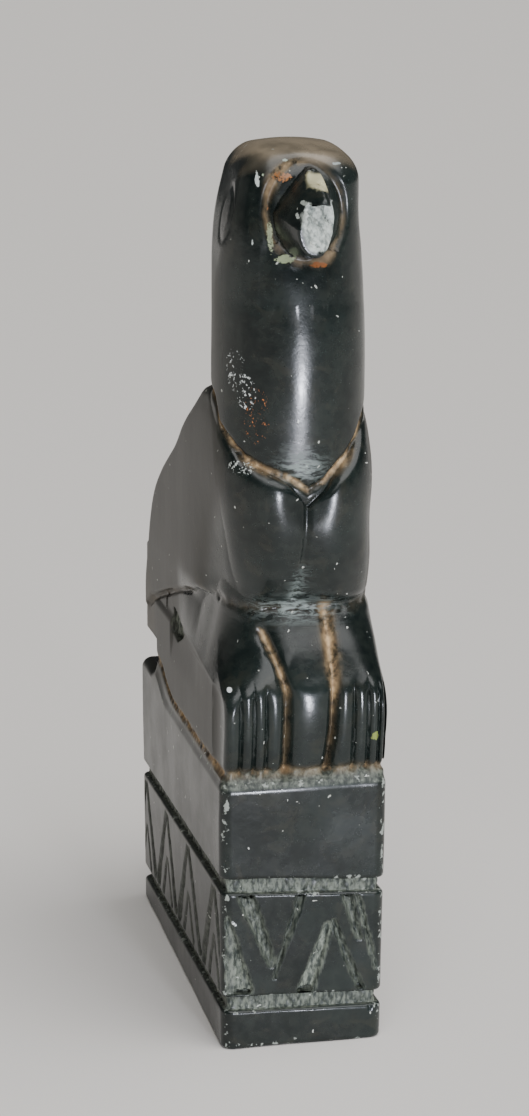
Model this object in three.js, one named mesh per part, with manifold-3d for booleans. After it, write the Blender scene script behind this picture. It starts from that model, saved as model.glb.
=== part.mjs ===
// A soapstone bird perched on a tall plinth, bird and plinth carved from one block.
// Millimetres. +Z is up, the beak and toes face -Y, the bird's right side is at -X.
// The origin is the centre of the plinth's underside.

import * as THREE from "three";
import { mergeVertices } from "three/addons/utils/BufferGeometryUtils.js";
import Module from "manifold-3d";

const wasm = await Module();
wasm.setup();

// Plinth
const plinth_width = 36;
const plinth_length = 97.6;
const base_height = 6.6;
const lower_groove_height = 3;
const frieze_height = 23.5;
const upper_groove_height = 3;
const cornice_height = 24;
const groove_depth = 1.4;
const groove_flank = 0.3;
const plinth_corner_radius = 2.6;
const slab_edge = 0.8;
const cornice_top_radius = 2.6;

// The hand-cut levels lean: each rises this much towards the front and towards the bird's right
const lower_lean_front = 1.8;
const lower_lean_side = 0.6;
const upper_lean_front = 1.6;
const upper_lean_side = 1.1;

// Zigzag of the frieze: sunk bands round triangles that stand, with a ribbon left between them.
// Its pitch and start are shares of the face's run, and each height is a share of the frieze's.
const chisel_depth = 1.2;
const chevron_band = 3.9;
const chevron_ribbon = 4.2;
const front_chevron_pitch_share = 0.628;
const front_chevron_start_share = -0.467;
const front_chevron_share = 0.74;
const side_chevron_pitch_share = 0.28;
const side_chevron_start_share = -0.44;
const side_chevron_share = 0.88;

// Bird
const bird_height = 132.8;
const bird_length = 95;
const shoulder_width = 36;
const neck_width = 33;
const foot_width = 34.6;

// Beak
const beak_length = 10.6;
const beak_width = 11.6;
const beak_height = 18.6;
const beak_side = 0.8;
const beak_level = 0.889;

// Carved lines
const beak_ring_width = 16.4;
const beak_ring_height = 20.6;
const ring_groove_width = 2;
const ring_groove_depth = 1;
const eye_width = 8;
const eye_height = 11;
const eye_level = 0.886;
const eye_setback = -0.66;
const eye_groove_width = 1.6;
const eye_groove_depth = 0.8;
const breast_groove_width = 8;
const breast_groove_depth = 2.6;
const leg_groove_width = 3.2;
const leg_groove_depth = 1.8;
const toe_groove_width = 2.4;
const toe_groove_depth = 1.3;
const spine_groove_width = 3;
const spine_groove_depth = 1.3;
const flank_recess_depth = 4;
const tail_clearance = 9.5;
const tail_side_step = 0.3;

// How finely round forms are divided
const corner_steps = 7;
const beak_steps = 20;
const ring_steps = 32;
const eye_steps = 20;

// Sizes that follow from those above
const half_width = plinth_width / 2;
const half_length = plinth_length / 2;
const frieze_bottom = base_height + lower_groove_height;
const frieze_top = frieze_bottom + frieze_height;
const cornice_bottom = frieze_top + upper_groove_height;
const plinth_top = cornice_bottom + cornice_height;
const half_bird = bird_length / 2;
const half_shoulder = shoulder_width / 2;
const half_neck = neck_width / 2;
const half_foot = foot_width / 2;

// The bird is drawn in shares: heights of its height above the plinth, depths of half its length
const up = (share) => plinth_top + share * bird_height;
const along = (share) => share * half_bird;

function solidOf(geometry) {
  const bare = geometry.clone();
  bare.deleteAttribute("normal");
  bare.deleteAttribute("uv");
  const merged = mergeVertices(bare, 1e-4);
  const mesh = new wasm.Mesh({
    numProp: 3,
    vertProperties: new Float32Array(merged.attributes.position.array),
    triVerts: new Uint32Array(merged.index.array),
  });
  return new wasm.Manifold(mesh);
}

function geometryOf(solid) {
  const mesh = solid.getMesh();
  const geometry = new THREE.BufferGeometry();
  geometry.setAttribute("position", new THREE.BufferAttribute(new Float32Array(mesh.vertProperties), 3));
  geometry.setIndex(new THREE.BufferAttribute(new Uint32Array(mesh.triVerts), 1));
  geometry.computeVertexNormals();
  return geometry;
}

// A closed solid through rings of points that turn counter-clockwise seen from where the rings go
function loft(rings) {
  const count = rings[0].length;
  const positions = rings.flat().flatMap((point) => point.toArray());
  const index = [];
  for (let level = 0; level < rings.length - 1; level += 1) {
    for (let step = 0; step < count; step += 1) {
      const a = level * count + step;
      const b = level * count + ((step + 1) % count);
      const c = a + count;
      const d = b + count;
      index.push(a, b, d);
      index.push(a, d, c);
    }
  }
  const cap = (ring, first, facing_on) => {
    const centre = ring.reduce((sum, point) => sum.add(point), new THREE.Vector3()).divideScalar(count);
    const hub = positions.length / 3;
    positions.push(...centre.toArray());
    for (let step = 0; step < count; step += 1) {
      const a = first + step;
      const b = first + ((step + 1) % count);
      index.push(hub, facing_on ? a : b, facing_on ? b : a);
    }
  };
  cap(rings[0], 0, false);
  cap(rings[rings.length - 1], (rings.length - 1) * count, true);
  const geometry = new THREE.BufferGeometry();
  geometry.setAttribute("position", new THREE.BufferAttribute(new Float32Array(positions), 3));
  geometry.setIndex(index);
  return solidOf(geometry);
}

// A level rounded rectangle, with one radius at its two front corners and one at its two back ones
function levelRing(z, { front, back, half, front_radius, back_radius }) {
  const widest = Math.min(half * 0.99, (back - front) * 0.49);
  const rf = Math.min(front_radius, widest);
  const rb = Math.min(back_radius, widest);
  const corners = [
    { x: half - rf, y: front + rf, r: rf, start: -90 },
    { x: half - rb, y: back - rb, r: rb, start: 0 },
    { x: -half + rb, y: back - rb, r: rb, start: 90 },
    { x: -half + rf, y: front + rf, r: rf, start: 180 },
  ];
  const ring = [];
  for (const corner of corners) {
    for (const degrees of between(corner.start, corner.start + 90, corner_steps)) {
      const angle = THREE.MathUtils.degToRad(degrees);
      ring.push(new THREE.Vector3(corner.x + corner.r * Math.cos(angle), corner.y + corner.r * Math.sin(angle), z));
    }
  }
  return ring;
}

function between(low, high, count) {
  return Array.from({ length: count + 1 }, (_, step) => low + ((high - low) * step) / count);
}

// A free form as smooth curves through stations. Each row holds its height, front and back,
// half its width as a share of the form's own half width, and its front and back corner radii.
function freeForm(form_half_width, stations) {
  const heights = stations.map((row) => row[0]);
  const values = stations.flatMap((row) => row.slice(1));
  const curve = new THREE.CubicInterpolant(heights, values, stations[0].length - 1);
  return (share) => {
    const [front, back, half, front_radius, back_radius] = curve.evaluate(share);
    return {
      front: along(front),
      back: along(back),
      half: half * form_half_width,
      front_radius: along(front_radius),
      back_radius: along(back_radius),
    };
  };
}

function freeFormSolid(form, shares) {
  return loft(shares.map((share) => levelRing(up(share), form(share))));
}

// A shape drawn in depth and height, extruded across the width
function acrossWidth(shape, low, high) {
  const prism = new THREE.ExtrudeGeometry(shape, { depth: high - low, bevelEnabled: false });
  prism.rotateX(Math.PI / 2);
  prism.rotateZ(Math.PI / 2);
  prism.translate(low, 0, 0);
  return solidOf(prism);
}

// A shape drawn in width and height, extruded from front to back
function alongDepth(shape, low, high) {
  const prism = new THREE.ExtrudeGeometry(shape, { depth: high - low, bevelEnabled: false });
  prism.rotateX(Math.PI / 2);
  prism.translate(0, high, 0);
  return prism;
}

// A cutter with a diamond section along a line on a surface: its width lies in the surface
function lineCutter(places, width, depth, closed = false) {
  const last = places.length - 1;
  const rings = places.map(({ point, outward }, step) => {
    const before = closed ? places[(step + last) % places.length] : places[Math.max(step - 1, 0)];
    const after = closed ? places[(step + 1) % places.length] : places[Math.min(step + 1, last)];
    const forward = after.point.clone().sub(before.point).normalize();
    const fade = closed || (step > 0 && step < last) ? 1 : 0.35;
    const normal = outward.clone().normalize();
    const reach = forward.cross(normal).normalize().multiplyScalar((width / 2) * fade);
    const sink = normal.multiplyScalar(depth * fade);
    return [
      point.clone().add(reach),
      point.clone().sub(sink),
      point.clone().sub(reach),
      point.clone().add(sink),
    ];
  });
  if (!closed) {
    return loft(rings);
  }
  const middle = Math.floor(rings.length / 2);
  return loft(rings.slice(0, middle + 1)).add(loft([...rings.slice(middle), rings[0]]));
}

// A place on the front of a free form, at a side position in millimetres
function frontPlace(form, share, x) {
  const { front, half, front_radius } = form(share);
  const radius = Math.min(front_radius, half * 0.99);
  const past = Math.max(Math.abs(x) - (half - radius), 0);
  const dip = radius - Math.sqrt(Math.max(radius * radius - past * past, 0));
  const turn = Math.asin(Math.min(past / radius, 1)) * Math.sign(x);
  return {
    point: new THREE.Vector3(x, front + dip, up(share)),
    outward: new THREE.Vector3(Math.sin(turn), -Math.cos(turn), 0),
  };
}

function leanAt(lean_front, lean_side, x, y) {
  return (lean_front * -y) / half_length + (lean_side * -x) / half_width;
}

// The plinth: base slab, sunk groove, frieze, sunk groove and cornice
function plinthSolid() {
  const rings = [];
  const level = (z, inset, lean_front = 0, lean_side = 0) => {
    const radius = Math.max(plinth_corner_radius - inset, plinth_corner_radius / 4);
    const ring = levelRing(z, {
      front: -half_length + inset,
      back: half_length - inset,
      half: half_width - inset,
      front_radius: radius,
      back_radius: radius,
    });
    for (const point of ring) {
      point.z += leanAt(lean_front, lean_side, point.x, point.y);
    }
    rings.push(ring);
  };
  const lower = [lower_lean_front, lower_lean_side];
  const upper = [upper_lean_front, upper_lean_side];
  level(0, slab_edge);
  level(slab_edge, 0);
  level(base_height - slab_edge, 0, ...lower);
  level(base_height, slab_edge, ...lower);
  level(base_height + groove_flank, groove_depth, ...lower);
  level(frieze_bottom - groove_flank, groove_depth, ...lower);
  level(frieze_bottom, slab_edge, ...lower);
  level(frieze_bottom + slab_edge, 0, ...lower);
  level(frieze_top - slab_edge, 0, ...upper);
  level(frieze_top, slab_edge, ...upper);
  level(frieze_top + groove_flank, groove_depth, ...upper);
  level(cornice_bottom - groove_flank, groove_depth, ...upper);
  level(cornice_bottom, slab_edge, ...upper);
  level(cornice_bottom + slab_edge, 0, ...upper);
  for (const degrees of between(0, 90, 4)) {
    const turn = THREE.MathUtils.degToRad(degrees);
    const inset = cornice_top_radius * (1 - Math.cos(turn));
    level(plinth_top - cornice_top_radius * (1 - Math.sin(turn)), inset);
  }
  return loft(rings);
}

// The outline of one sunk chevron: two sloped bands round a triangle that stands. It starts from
// its open end at height 0 and points up or down; its ends run on past the frieze's edge.
function chevronOutline(height, half_base, pointing) {
  const slope = half_base / height;
  const inner_half = half_base - chevron_band;
  const past = upper_groove_height / 3;
  const shape = new THREE.Shape();
  shape.moveTo(0, pointing * height);
  shape.lineTo(-half_base - slope * past, -pointing * past);
  shape.lineTo(-inner_half - slope * past, -pointing * past);
  shape.lineTo(0, (pointing * inner_half) / slope);
  shape.lineTo(inner_half + slope * past, -pointing * past);
  shape.lineTo(half_base + slope * past, -pointing * past);
  shape.closePath();
  return shape;
}

// Chevrons along one face, up and down in turn. The face is turned from the front about +Z.
function chevronRow({ degrees, run, distance, start, pitch, share }) {
  const turn = THREE.MathUtils.degToRad(degrees);
  const half_base = (pitch - chevron_ribbon) / 2;
  const cutters = [];
  let pointing = -1;
  for (let place = start - pitch / 2; place < run + half_base; place += pitch / 2) {
    const x = place * Math.cos(turn) + distance * Math.sin(turn);
    const y = place * Math.sin(turn) - distance * Math.cos(turn);
    const foot = frieze_bottom + leanAt(lower_lean_front, lower_lean_side, x, y);
    const head = frieze_top + leanAt(upper_lean_front, upper_lean_side, x, y);
    const outline = chevronOutline(share * (head - foot), half_base, pointing);
    const prism = alongDepth(outline, -distance - chisel_depth, -distance + chisel_depth);
    prism.translate(place, 0, pointing > 0 ? foot : head);
    prism.rotateZ(turn);
    cutters.push(solidOf(prism));
    pointing = -pointing;
  }
  return cutters;
}

function friezeCutter() {
  const ends = {
    run: half_width,
    distance: half_length,
    start: front_chevron_start_share * plinth_width,
    pitch: front_chevron_pitch_share * plinth_width,
    share: front_chevron_share,
  };
  const sides = {
    run: half_length,
    distance: half_width,
    start: side_chevron_start_share * plinth_length,
    pitch: side_chevron_pitch_share * plinth_length,
    share: side_chevron_share,
  };
  return wasm.Manifold.union([
    ...chevronRow({ degrees: 0, ...ends }),
    ...chevronRow({ degrees: 180, ...ends }),
    ...chevronRow({ degrees: 90, ...sides }),
    ...chevronRow({ degrees: -90, ...sides }),
  ]);
}

// Breast, shoulders and folded wings
const torso = freeForm(half_shoulder, [
  [0.1, -0.86, 0.975, 0.982, 0.27, 0.05],
  [0.172, -0.86, 0.982, 0.987, 0.27, 0.065],
  [0.24, -0.868, 0.93, 0.992, 0.28, 0.095],
  [0.268, -0.885, 0.905, 0.997, 0.29, 0.12],
  [0.292, -0.94, 0.885, 1.0, 0.3, 0.13],
  [0.35, -1.0, 0.8, 1.0, 0.31, 0.165],
  [0.405, -1.022, 0.61, 1.0, 0.31, 0.19],
  [0.47, -1.022, 0.28, 1.0, 0.315, 0.21],
  [0.52, -0.985, 0.075, 0.992, 0.325, 0.21],
  [0.56, -0.93, -0.11, 0.971, 0.33, 0.21],
  [0.59, -0.86, -0.22, 0.934, 0.33, 0.21],
  [0.61, -0.79, -0.31, 0.887, 0.31, 0.2],
]);

// The line below which the breast and wings stop: depth and height, from the tail to the waist
const underside_line = [
  [1.3, 0.09],
  [0.99, 0.121],
  [0.59, 0.173],
  [0.15, 0.22],
  [-0.13, 0.252],
  [-0.42, 0.252],
  [-0.84, 0.264],
  [-1.4, 0.264],
];

function undersideCutter() {
  const shape = new THREE.Shape();
  shape.moveTo(along(underside_line[0][0]), 0);
  for (const [depth, height] of underside_line) {
    shape.lineTo(along(depth), up(height));
  }
  shape.lineTo(along(underside_line[underside_line.length - 1][0]), 0);
  shape.closePath();
  return acrossWidth(shape, -shoulder_width, shoulder_width);
}

// The V of the collar: side as a share of half the neck's width, and height
const collar_line = [
  [-1.02, 0.606],
  [-0.99, 0.556],
  [-0.885, 0.531],
  [-0.73, 0.512],
  [-0.51, 0.496],
  [-0.255, 0.482],
  [0.05, 0.463],
  [0.255, 0.476],
  [0.41, 0.492],
  [0.61, 0.511],
  [0.78, 0.535],
  [0.9, 0.564],
  [1.02, 0.606],
];
const collar_shoulder_height = 0.62;
const collar_front = -1.4;
const collar_back = -0.5;

function collarCutter() {
  const shape = new THREE.Shape();
  shape.moveTo(-shoulder_width, up(1));
  shape.lineTo(-shoulder_width, up(collar_shoulder_height));
  for (const [side, height] of collar_line) {
    shape.lineTo(side * half_neck, up(height));
  }
  shape.lineTo(shoulder_width, up(collar_shoulder_height));
  shape.lineTo(shoulder_width, up(1));
  shape.closePath();
  return solidOf(alongDepth(shape, along(collar_front), along(collar_back)));
}

// The crease down the middle of the breast
function breastCutter() {
  const places = between(0.258, 0.475, 8).map((share) => (
    frontPlace(torso, share, half_shoulder * (0.2 * share - 0.04))
  ));
  return lineCutter(places, breast_groove_width, breast_groove_depth);
}

// The line between the wings down the back
function spineCutter() {
  const places = between(0.14, 0.56, 12).map((share) => {
    const rise = up(share + 0.01) - up(share - 0.01);
    const run = torso(share + 0.01).back - torso(share - 0.01).back;
    return {
      point: new THREE.Vector3(0, torso(share).back, up(share)),
      outward: new THREE.Vector3(0, rise, -run),
    };
  });
  return lineCutter(places, spine_groove_width, spine_groove_depth);
}

function torsoSolid() {
  return freeFormSolid(torso, between(0.1, 0.61, 26))
    .subtract(undersideCutter())
    .subtract(collarCutter())
    .subtract(breastCutter())
    .subtract(spineCutter());
}

// Neck and head in one column with a low domed crown
const neck = freeForm(half_neck, [
  [0.3, -0.84, -0.2, 0.865, 0.28, 0.25],
  [0.46, -0.955, -0.26, 0.971, 0.33, 0.28],
  [0.56, -0.972, -0.29, 0.997, 0.34, 0.31],
  [0.66, -0.972, -0.295, 1.0, 0.34, 0.31],
  [0.75, -0.955, -0.295, 1.0, 0.335, 0.31],
  [0.79, -0.94, -0.29, 0.994, 0.31, 0.3],
  [0.83, -0.916, -0.28, 0.968, 0.25, 0.25],
  [0.87, -0.898, -0.27, 0.931, 0.2, 0.2],
  [0.905, -0.884, -0.264, 0.893, 0.175, 0.18],
  [0.935, -0.872, -0.264, 0.856, 0.16, 0.17],
  [0.96, -0.85, -0.27, 0.784, 0.155, 0.16],
  [0.976, -0.815, -0.285, 0.692, 0.15, 0.15],
  [0.987, -0.77, -0.315, 0.585, 0.14, 0.14],
  [0.9945, -0.7, -0.37, 0.418, 0.12, 0.12],
  [1.0, -0.6, -0.46, 0.2, 0.06, 0.06],
]);

// The oval line cut round the beak's root
function beakRingCutter() {
  const places = between(0, 2 * Math.PI, ring_steps).slice(0, -1).map((angle) => {
    const x = beak_side + (beak_ring_width / 2) * Math.cos(angle);
    const share = beak_level + ((beak_ring_height / 2) * Math.sin(angle)) / bird_height;
    return frontPlace(neck, share, x);
  });
  return lineCutter(places, ring_groove_width, ring_groove_depth, true);
}

// The oval line of one eye on the side of the head: side is -1 or 1
function eyeCutter(side) {
  const places = between(0, 2 * Math.PI, eye_steps).slice(0, -1).map((angle) => {
    const share = eye_level + ((eye_height / 2) * Math.sin(angle)) / bird_height;
    const y = along(eye_setback) - side * (eye_width / 2) * Math.cos(angle);
    return {
      point: new THREE.Vector3(side * neck(share).half, y, up(share)),
      outward: new THREE.Vector3(side, 0, 0),
    };
  });
  return lineCutter(places, eye_groove_width, eye_groove_depth, true);
}

function headSolid() {
  const column = between(0.3, 0.79, 11);
  const head = between(0.81, 0.95, 8);
  const crown = [0.96, 0.97, 0.978, 0.985, 0.99, 0.9945, 0.998, 1];
  return freeFormSolid(neck, [...column, ...head, ...crown])
    .subtract(beakRingCutter())
    .subtract(eyeCutter(-1))
    .subtract(eyeCutter(1));
}

// The broken stump of the beak: reach, size and drop of each section, as shares of the beak's
// length and height. A section has a ridge above and is round below, and the end is cut off askew.
const beak_sections = [
  [-0.3, 1.06, 0],
  [0, 1, 0],
  [0.25, 0.9, -0.02],
  [0.5, 0.8, -0.045],
  [0.75, 0.69, -0.07],
  [0.92, 0.6, -0.09],
  [1, 0.5, -0.1],
];
const beak_ridge_pinch = 0.35;
const beak_end_skew = 0.09;

function beakSolid() {
  const face = neck(beak_level).front;
  const rings = beak_sections.map(([reach, size, drop]) => (
    between(0, 2 * Math.PI, beak_steps).slice(0, -1).map((angle) => {
      const rise = Math.sin(angle);
      const pinch = rise > 0 ? 1 - beak_ridge_pinch * rise * rise : 1;
      const skew = reach > 0.9 ? beak_end_skew * rise : 0;
      return new THREE.Vector3(
        beak_side + (beak_width / 2) * size * pinch * Math.cos(angle),
        face - beak_length * (reach - skew),
        up(beak_level) + beak_height * (drop + (size / 2) * rise),
      );
    })
  ));
  return loft(rings);
}

// Thighs, legs and toes down to the plinth
const legs = freeForm(half_foot, [
  [-0.02, -0.99, 0.69, 0.995, 0.05, 0.1],
  [0.01, -0.995, 0.7, 1.0, 0.05, 0.1],
  [0.05, -1.01, 0.71, 1.0, 0.05, 0.1],
  [0.125, -1.016, 0.74, 1.0, 0.055, 0.1],
  [0.142, -1.008, 0.76, 0.995, 0.075, 0.1],
  [0.164, -0.98, 0.78, 0.984, 0.13, 0.1],
  [0.202, -0.93, 0.8, 0.962, 0.19, 0.1],
  [0.24, -0.868, 0.8, 0.929, 0.23, 0.1],
  [0.268, -0.832, 0.75, 0.915, 0.25, 0.1],
  [0.31, -0.83, 0.6, 0.907, 0.25, 0.1],
]);

// Two lines from the waist to the ground, each place a side share of half the feet's width
// and a height, and the sides of the lines between the toes
const leg_lines = [
  [[-0.46, 0.235], [-0.33, 0.187], [-0.22, 0.14], [-0.21, 0.08], [-0.22, 0.0]],
  [[0.35, 0.245], [0.37, 0.197], [0.38, 0.14], [0.36, 0.08], [0.3, 0.0]],
];
const toe_lines = [-0.775, -0.63, -0.485, 0.63, 0.81];
const toe_height = 0.142;

function footCutters() {
  const cutters = leg_lines.map((line) => {
    const places = line.map(([side, share]) => frontPlace(legs, share, side * half_foot));
    return lineCutter(places, leg_groove_width, leg_groove_depth);
  });
  for (const side of toe_lines) {
    const places = between(0, toe_height, 4).map((share) => frontPlace(legs, share, side * half_foot));
    cutters.push(lineCutter(places, toe_groove_width, toe_groove_depth));
  }
  return wasm.Manifold.union(cutters);
}

// The recess between thigh and tail on one side: side is -1 or 1
const flank_outline = [
  [0.265, 0.183],
  [0.13, 0.174],
  [-0.2, 0.149],
  [0, 0.119],
  [0.16, 0.098],
  [0.27, 0.111],
];

function flankCutter(side) {
  const places = flank_outline.map(([depth, height]) => new THREE.Vector2(along(depth), up(height)));
  const inner = side * (half_foot - flank_recess_depth);
  const outer = side * shoulder_width;
  return acrossWidth(new THREE.Shape(places), Math.min(inner, outer), Math.max(inner, outer));
}

// The tail reaches back over the plinth, clear of it
const tail_top = 0.21;
const tail_front = 0.3;
const tail_back = 0.985;

function tailSolid() {
  const low = plinth_top + tail_clearance;
  const section = (z, inset) => levelRing(z, {
    front: along(tail_front),
    back: along(tail_back) - inset,
    half: half_foot - tail_side_step - inset,
    front_radius: slab_edge,
    back_radius: plinth_corner_radius,
  });
  return loft([section(low, slab_edge), section(low + slab_edge, 0), section(up(tail_top), slab_edge)]);
}

function legsSolid() {
  return freeFormSolid(legs, between(-0.02, 0.31, 18))
    .add(tailSolid())
    .subtract(flankCutter(-1))
    .subtract(flankCutter(1))
    .subtract(footCutters());
}

function carvingSolid() {
  const plinth = plinthSolid().subtract(friezeCutter());
  return wasm.Manifold.union([plinth, torsoSolid(), legsSolid(), headSolid(), beakSolid()]);
}

const soapstone = new THREE.MeshStandardMaterial({ color: "#262b29", roughness: 0.28, metalness: 0 });

const carving = new THREE.Mesh(geometryOf(carvingSolid()), soapstone);
carving.name = "bird_carving";

const model = new THREE.Group();
model.add(carving);

export default model;
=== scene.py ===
# Soapstone bird carving on a tall plinth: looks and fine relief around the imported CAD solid.
#
# The whole carving is one stone, so it is one mesh. Its form is written as a distance field in millimetres,
# negative inside the stone, made of the same masses as the CAD solid: neck, breast and wings, leg block,
# tail and plinth. The chisel marks, chips and break are cut into it, and the surface is then meshed.
# The frame is the row's: origin at the centre of the plinth's underside, +Z up, -Y to the beak and toes,
# -X to the bird's right wing. A depth below is a place along Y.

import bpy
import numpy as np
from mathutils import Matrix, Vector


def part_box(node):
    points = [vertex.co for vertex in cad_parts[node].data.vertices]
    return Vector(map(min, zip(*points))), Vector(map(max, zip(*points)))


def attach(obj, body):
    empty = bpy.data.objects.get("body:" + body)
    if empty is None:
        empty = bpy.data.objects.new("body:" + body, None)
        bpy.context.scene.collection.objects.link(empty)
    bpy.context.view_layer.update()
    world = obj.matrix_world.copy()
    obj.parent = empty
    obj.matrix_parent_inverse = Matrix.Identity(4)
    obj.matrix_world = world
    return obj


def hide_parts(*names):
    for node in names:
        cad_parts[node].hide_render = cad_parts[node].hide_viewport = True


# Driving dimensions, mm, as in the CAD part
TOTAL_HEIGHT = 192.9
PLINTH_HALF_WIDTH = 18.0
PLINTH_HALF_LENGTH = 48.8
PLINTH_CORNER = 2.6
PLINTH_TOP = 60.1
BASE_TOP = 6.6
FRIEZE_BOTTOM = 9.6
FRIEZE_TOP = 33.1
CORNICE_BOTTOM = 36.1
SLAB_EDGE = 0.8
CORNICE_EDGE = 2.6
GROOVE_DEPTH = 1.4
LOWER_LEAN = (1.8, 0.6)
UPPER_LEAN = (1.6, 1.1)
BIRD_HEIGHT = 132.8
BIRD_HALF = 47.5
BODY_HALF = 18.0
NECK_HALF = 16.5
LEG_HALF = 17.3
LEG_TOP = 97.5
TAIL_HALF_WIDTH = 16.9
TAIL_HALF_LENGTH = 12.9
TAIL_MIDDLE = 34.0
TAIL_BOTTOM = 69.6
TAIL_TOP = 92.0
WAIST = 95.0

# How much the plinth's top rises to the rear, and how far the hand-rubbed sides may stand from the middle
REAR_RISE = 2.4
SIDE_LIMIT = 18.2

# Mesh: the grid's box and step, how the grid is split into blocks, and how near the surface a block is filled
GRID_LOW = (-19.6, -56.0, -1.2)
GRID_HIGH = (19.6, 50.6, 194.6)
NODE_STEP = 0.4
BLOCK_NODES = 4
BLOCK_REACH = 2.9
MAX_TRIANGLES = 194000
CHUNK = 160000

# Camera, from a fit to the plinth's corners in the photo, mm
CAMERA_PLACE = (-119.1, -534.8, 223.5)
CAMERA_AIM = (0.215, 0.9504, -0.2247)
CAMERA_RIGHT = (0.9756, -0.2194, 0.0056)
CAMERA_LENS = 80.0

# Stations up the bird: height as a share of BIRD_HEIGHT; front, back and the two corner radii as shares of
# BIRD_HALF; half width as a share of the form's own half width
TORSO_STATIONS = [
    # height, front, back, half width, front radius, back radius
    (0.1, -0.86, 0.975, 0.982, 0.27, 0.05),
    (0.172, -0.86, 0.982, 0.987, 0.27, 0.065),
    (0.24, -0.868, 0.93, 0.992, 0.28, 0.095),
    (0.268, -0.866, 0.905, 1.0, 0.24, 0.12),
    (0.292, -0.908, 0.885, 1.0, 0.26, 0.13),
    (0.35, -0.99, 0.8, 1.0, 0.295, 0.165),
    (0.405, -1.022, 0.61, 1.0, 0.31, 0.19),
    (0.47, -1.022, 0.28, 1.0, 0.315, 0.21),
    (0.52, -0.985, 0.075, 0.992, 0.325, 0.21),
    (0.56, -0.93, -0.11, 0.971, 0.33, 0.21),
    (0.59, -0.86, -0.22, 0.934, 0.33, 0.21),
    (0.625, -0.79, -0.31, 0.887, 0.31, 0.2),
]
NECK_STATIONS = [
    (0.3, -0.84, -0.2, 0.865, 0.28, 0.25),
    (0.46, -0.955, -0.26, 0.971, 0.33, 0.28),
    (0.56, -0.972, -0.29, 0.975, 0.34, 0.31),
    (0.66, -0.972, -0.295, 0.975, 0.34, 0.31),
    (0.75, -0.955, -0.295, 0.965, 0.335, 0.31),
    (0.79, -0.94, -0.29, 0.95, 0.31, 0.3),
    (0.83, -0.916, -0.28, 0.91, 0.25, 0.25),
    (0.87, -0.898, -0.27, 0.86, 0.2, 0.2),
    (0.905, -0.884, -0.264, 0.82, 0.175, 0.18),
    (0.94, -0.874, -0.262, 0.78, 0.16, 0.17),
    (0.97, -0.87, -0.26, 0.74, 0.155, 0.16),
    (1.02, -0.86, -0.26, 0.68, 0.15, 0.15),
]
LEG_STATIONS = [
    (-0.02, -0.99, 0.69, 0.995, 0.05, 0.1),
    (0.01, -0.995, 0.7, 1.0, 0.05, 0.1),
    (0.05, -1.01, 0.71, 1.0, 0.05, 0.1),
    (0.125, -1.016, 0.74, 1.0, 0.055, 0.1),
    (0.142, -1.008, 0.76, 1.0, 0.08, 0.1),
    (0.164, -0.98, 0.78, 1.0, 0.13, 0.1),
    (0.202, -0.93, 0.8, 1.0, 0.19, 0.1),
    (0.24, -0.868, 0.8, 1.0, 0.23, 0.1),
    (0.268, -0.832, 0.75, 1.0, 0.24, 0.1),
    (0.31, -0.83, 0.6, 1.0, 0.24, 0.1),
]

# Height of the breast's upper edge round the neck, by angle from the front, negative to the right wing
COLLAR_ANGLES = (-180, -110, -93, -84, -76, -58, -46, -28, -11, 3.5, 16, 24, 36, 48, 60, 75, 90, 180)
COLLAR_HEIGHTS = (
    140, 141.5, 140, 138.8, 134, 130.7, 128, 126, 124.5,
    121.8, 123.4, 125.7, 128.1, 131.3, 135, 138, 140, 140,
)
NECK_AXIS_Y = -30.0

# Lower edge of the wings and breast, and the line chiselled between the breast and the thighs
UNDERSIDE_DEPTHS = (-60, -40, -20, -15.6, -12.5, -6.2, 0.7, 7, 17.2, 28.2, 37.6, 43.3, 47, 60)
UNDERSIDE_HEIGHTS = (95.2, 95.2, 95.0, 95.0, 94.2, 92.6, 91.0, 89.2, 86.4, 83.2, 80.1, 77.2, 74, 70)

WAIST_DEPTHS = (-50, -39, -20, -14)
WAIST_HEIGHTS = (95.2, 95.2, 95.6, 97.5)

# Rear edge of the thigh, its lower edge, and the edge along it where its side starts to slope in
THIGH_HEIGHTS = (80.1, 81.4, 82.5, 83.4, 85.0, 87.4, 91.2, 94.0, 96.0)
THIGH_DEPTHS = (-9.5, -4.8, 0.1, 6.3, 11.3, 11.2, 7.4, -1.0, -8.0)
THIGH_FOOT_DEPTHS = (-12, -9.5, 0.1, 6.3, 11.3)
THIGH_FOOT_HEIGHTS = (79.6, 80.1, 82.5, 83.4, 85)
RIDGE_DEPTHS = (-50, -47, -42.7, -30.2, -16.9, -1.1, 6.1)
RIDGE_HEIGHTS = (72, 77.4, 78.6, 79.9, 81.6, 82.6, 84.6)

# Hollow behind each leg, depth and height of its corners
HOLLOW = [(12.7, 84.5), (6.2, 84.6), (-3.5, 82.4), (0.5, 79.2), (6.0, 76.9), (11.8, 77.8)]

# Beak: its middle, and from its tip to its root the depths, half widths, half heights and drop of its middle
BEAK_MIDDLE = (0.0, 178.6)
BEAK_DEPTHS = (-53.2, -50.5, -47.5, -44.5, -41.5, -36.0)
BEAK_HALF_WIDTH = (3.7, 4.5, 5.2, 5.9, 6.4, 6.9)
BEAK_HALF_HEIGHT = (5.7, 6.9, 8.0, 8.9, 9.5, 9.8)
BEAK_DROP = (2.3, 1.6, 0.9, 0.4, 0.0, 0.0)
BEAK_TIP = -53.4
BEAK_ROOT = -34.0

# The pale face where the beak split: its highest and lowest place
SPLIT_TOP = 181.9
SPLIT_BOTTOM = 171.4

# The line round the beak, and how much dirt lies in it by angle from the bird's left, turning up
RING_HALF = (8.1, 10.0)
RING_ANGLES = (0, 30, 75, 95, 135, 165, 190, 235, 275, 300, 325, 360)
RING_DIRT = (0.2, 0.12, 0.1, 0.35, 0.8, 0.25, 0.28, 0.32, 0.25, 0.55, 0.15, 0.2)
EYE_MIDDLE = (-32.0, 177.8)
EYE_HALF = (4.0, 5.5)

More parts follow.
